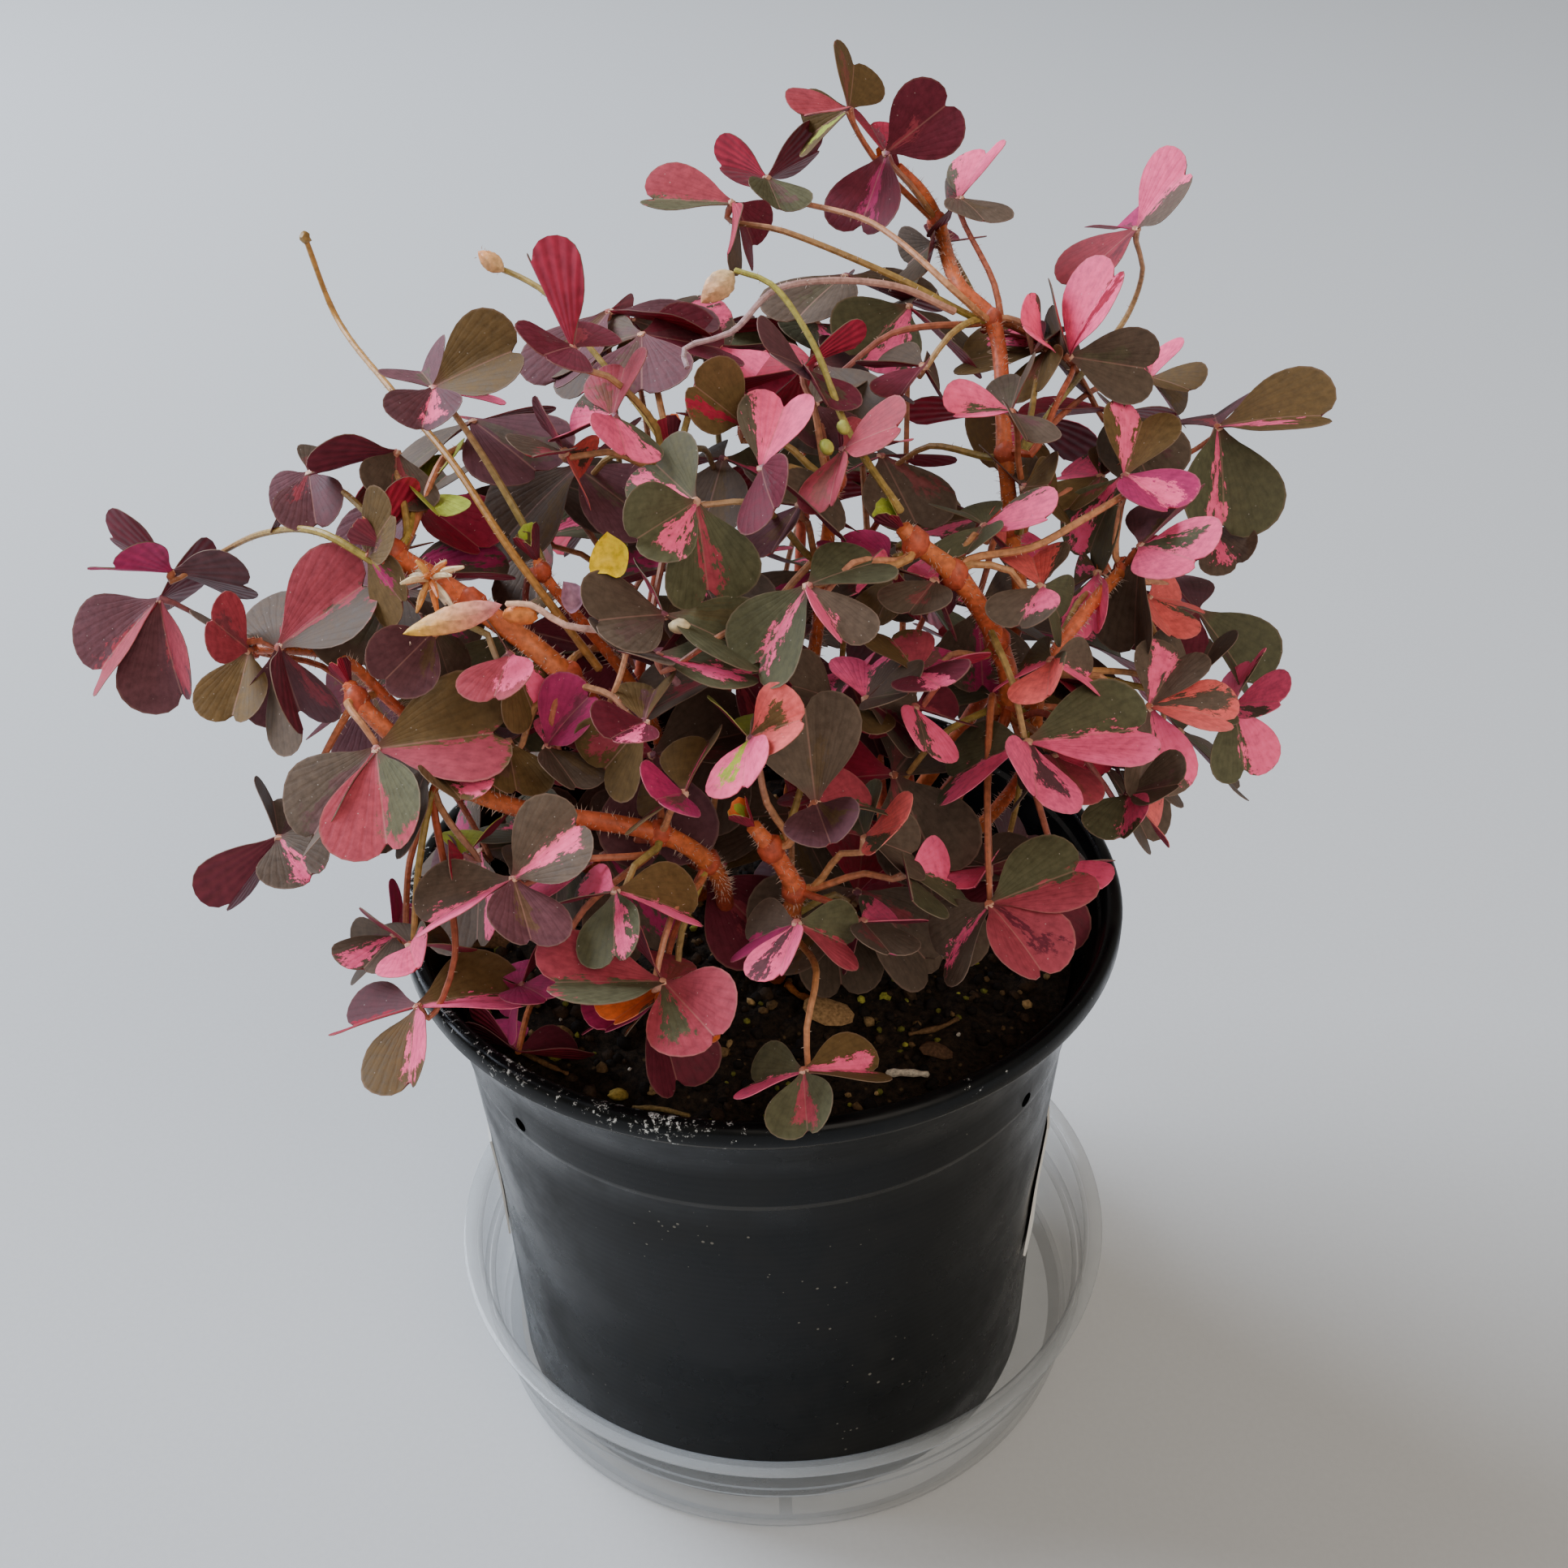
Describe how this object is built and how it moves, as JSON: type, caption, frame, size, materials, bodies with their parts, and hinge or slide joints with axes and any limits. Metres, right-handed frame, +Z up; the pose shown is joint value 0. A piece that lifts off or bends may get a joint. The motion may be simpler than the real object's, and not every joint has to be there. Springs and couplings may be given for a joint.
{
  "type": "potted plant",
  "caption": "Bushy trailing oxalis with dark, pink-splashed clover leaves on long stalks, in a round black plastic nursery pot standing in a clear plastic saucer.",
  "frame": {"origin": "on the pot's axis at the underside of the saucer, the surface the object stands on", "axes": "+Z up, +X to the right and -Y to the front of the plant as it was pictured"},
  "size_m": [0.2046, 0.1488, 0.2249],
  "materials": {
    "saucer_plastic": "clear thin plastic, polished",
    "pot_plastic": "black moulded plastic with a soft sheen",
    "label_film": "blank white film",
    "potting_mix": "dark moist peat mix with granules",
    "stem": "orange-red, finely hairy",
    "leaf": "dark olive to burgundy blades with pink and salmon flames",
    "bare_stalk": "straw to olive, smooth",
    "bud": "salmon and cream, closed",
    "wilted_flower": "crumpled orange-yellow petals"
  },
  "bodies": {
    "root": {"saucer": "saucer_plastic", "pot": "pot_plastic", "label": "label_film", "soil": "potting_mix", "stem_crown": "stem", "stem_heart": "stem", "stem_right": "stem", "stem_front": "stem", "stem_left": "stem", "stem_drop": "stem", "stem_side": "stem", "stem_mid": "stem", "stem_back_left": "stem", "stem_up_left": "stem", "tall_stalk": "bare_stalk", "old_stalk_right": "bare_stalk", "bud_stalk": "bare_stalk", "wilted_stalk": "bare_stalk", "bud": "bud", "bud_small": "bud", "wilted_flower": "wilted_flower", "leaves_crown_tip": "leaf", "leaves_crown": "leaf", "leaves_crown_low": "leaf", "leaves_crown_base": "leaf", "leaves_heart_tip": "leaf", "leaves_heart": "leaf", "leaves_heart_low": "leaf", "leaves_heart_base": "leaf", "leaves_right_tip": "leaf", "leaves_right": "leaf", "leaves_front_tip": "leaf", "leaves_front": "leaf", "leaves_front_base": "leaf", "leaves_left_tip": "leaf", "leaves_left": "leaf", "leaves_left_low": "leaf", "leaves_drop_tip": "leaf", "leaves_drop": "leaf", "leaves_drop_low": "leaf", "leaves_drop_base": "leaf", "leaves_side_tip": "leaf", "leaves_mid": "leaf", "leaves_mid_low": "leaf", "leaves_back_left": "leaf", "leaves_up_left": "leaf", "leaves_rear_1": "leaf", "leaves_rear_2": "leaf", "leaves_rear_3": "leaf", "leaves_rear_4": "leaf", "leaves_rear_5": "leaf", "leaves_rear_6": "leaf"}
  },
  "joints": []
}
